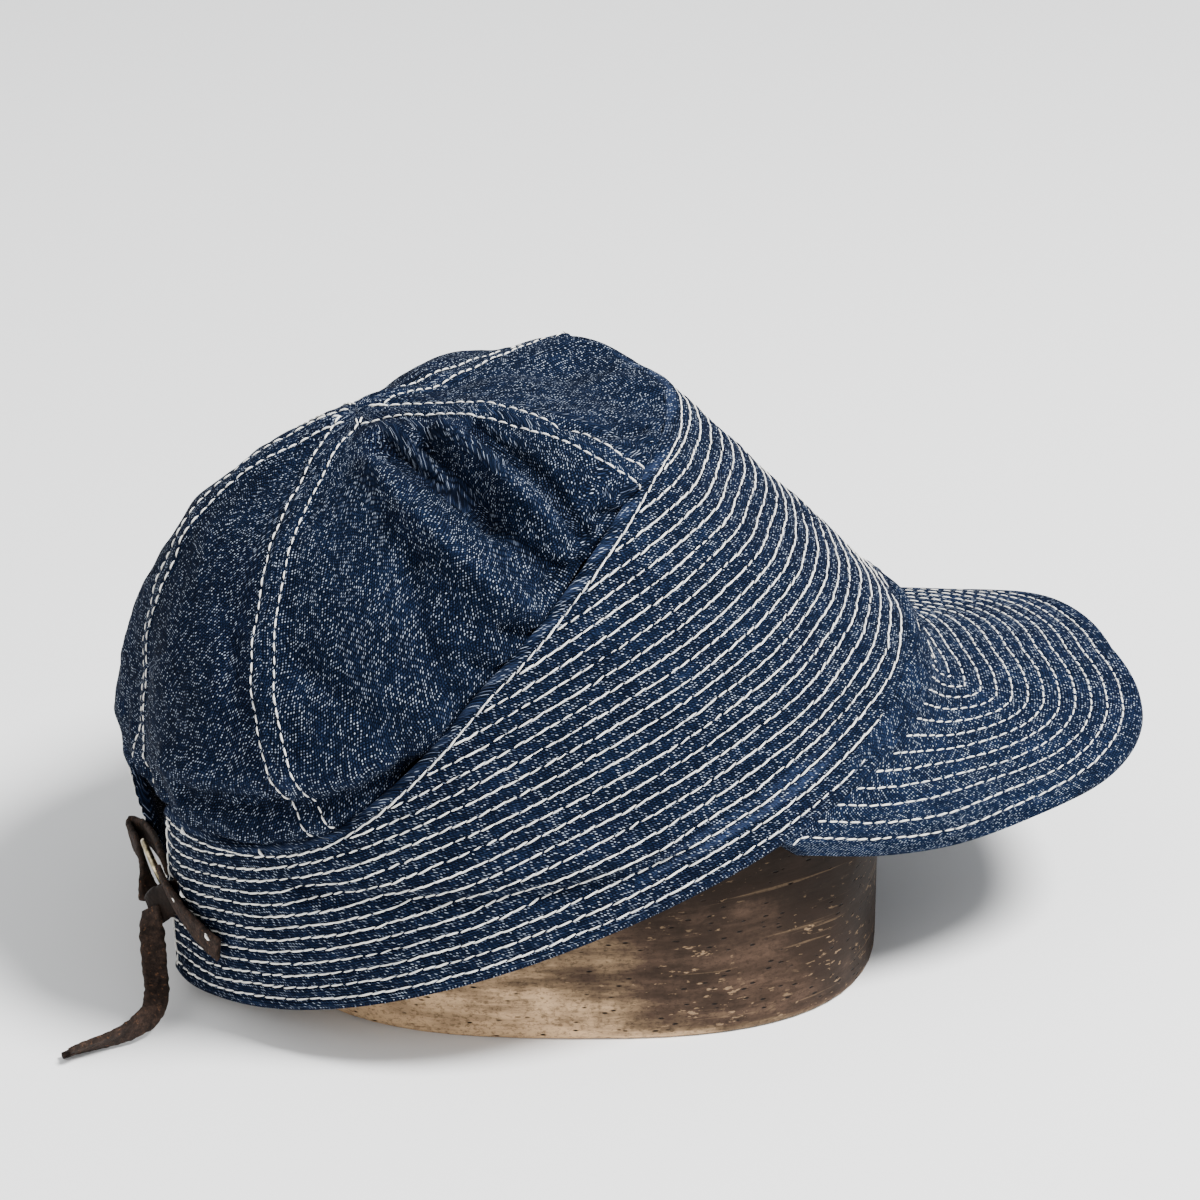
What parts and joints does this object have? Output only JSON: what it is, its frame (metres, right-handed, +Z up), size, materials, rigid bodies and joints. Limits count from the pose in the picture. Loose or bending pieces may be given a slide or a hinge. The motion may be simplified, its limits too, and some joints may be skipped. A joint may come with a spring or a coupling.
{
  "type": "sailor cap on a wooden block stand",
  "caption": "Stitched denim sailor cap with an arched visor and a ring and lace adjuster at the back, resting tilted on a plain oval wooden block stand.",
  "frame": {"origin": "middle of the block's foot, on the surface that it stands on", "axes": "+X towards the visor, the front of the cap; +Y towards the wearer's left; +Z up"},
  "size_m": [0.2753, 0.17, 0.146],
  "materials": {
    "denim": "indigo denim with pale stitching",
    "leather": "rough dark brown",
    "brass": "aged",
    "wood": "worn, dark patina"
  },
  "bodies": {
    "root": {"band": "denim", "crown_panel_right": "denim", "crown_panel_front": "denim", "crown_panel_left": "denim", "crown_panel_back_left": "denim", "crown_panel_back_right": "denim", "visor": "denim", "tab_right": "leather", "tab_left": "leather", "lace": "leather", "adjuster_ring": "brass", "lace_tail": "leather", "block": "wood"}
  },
  "joints": []
}
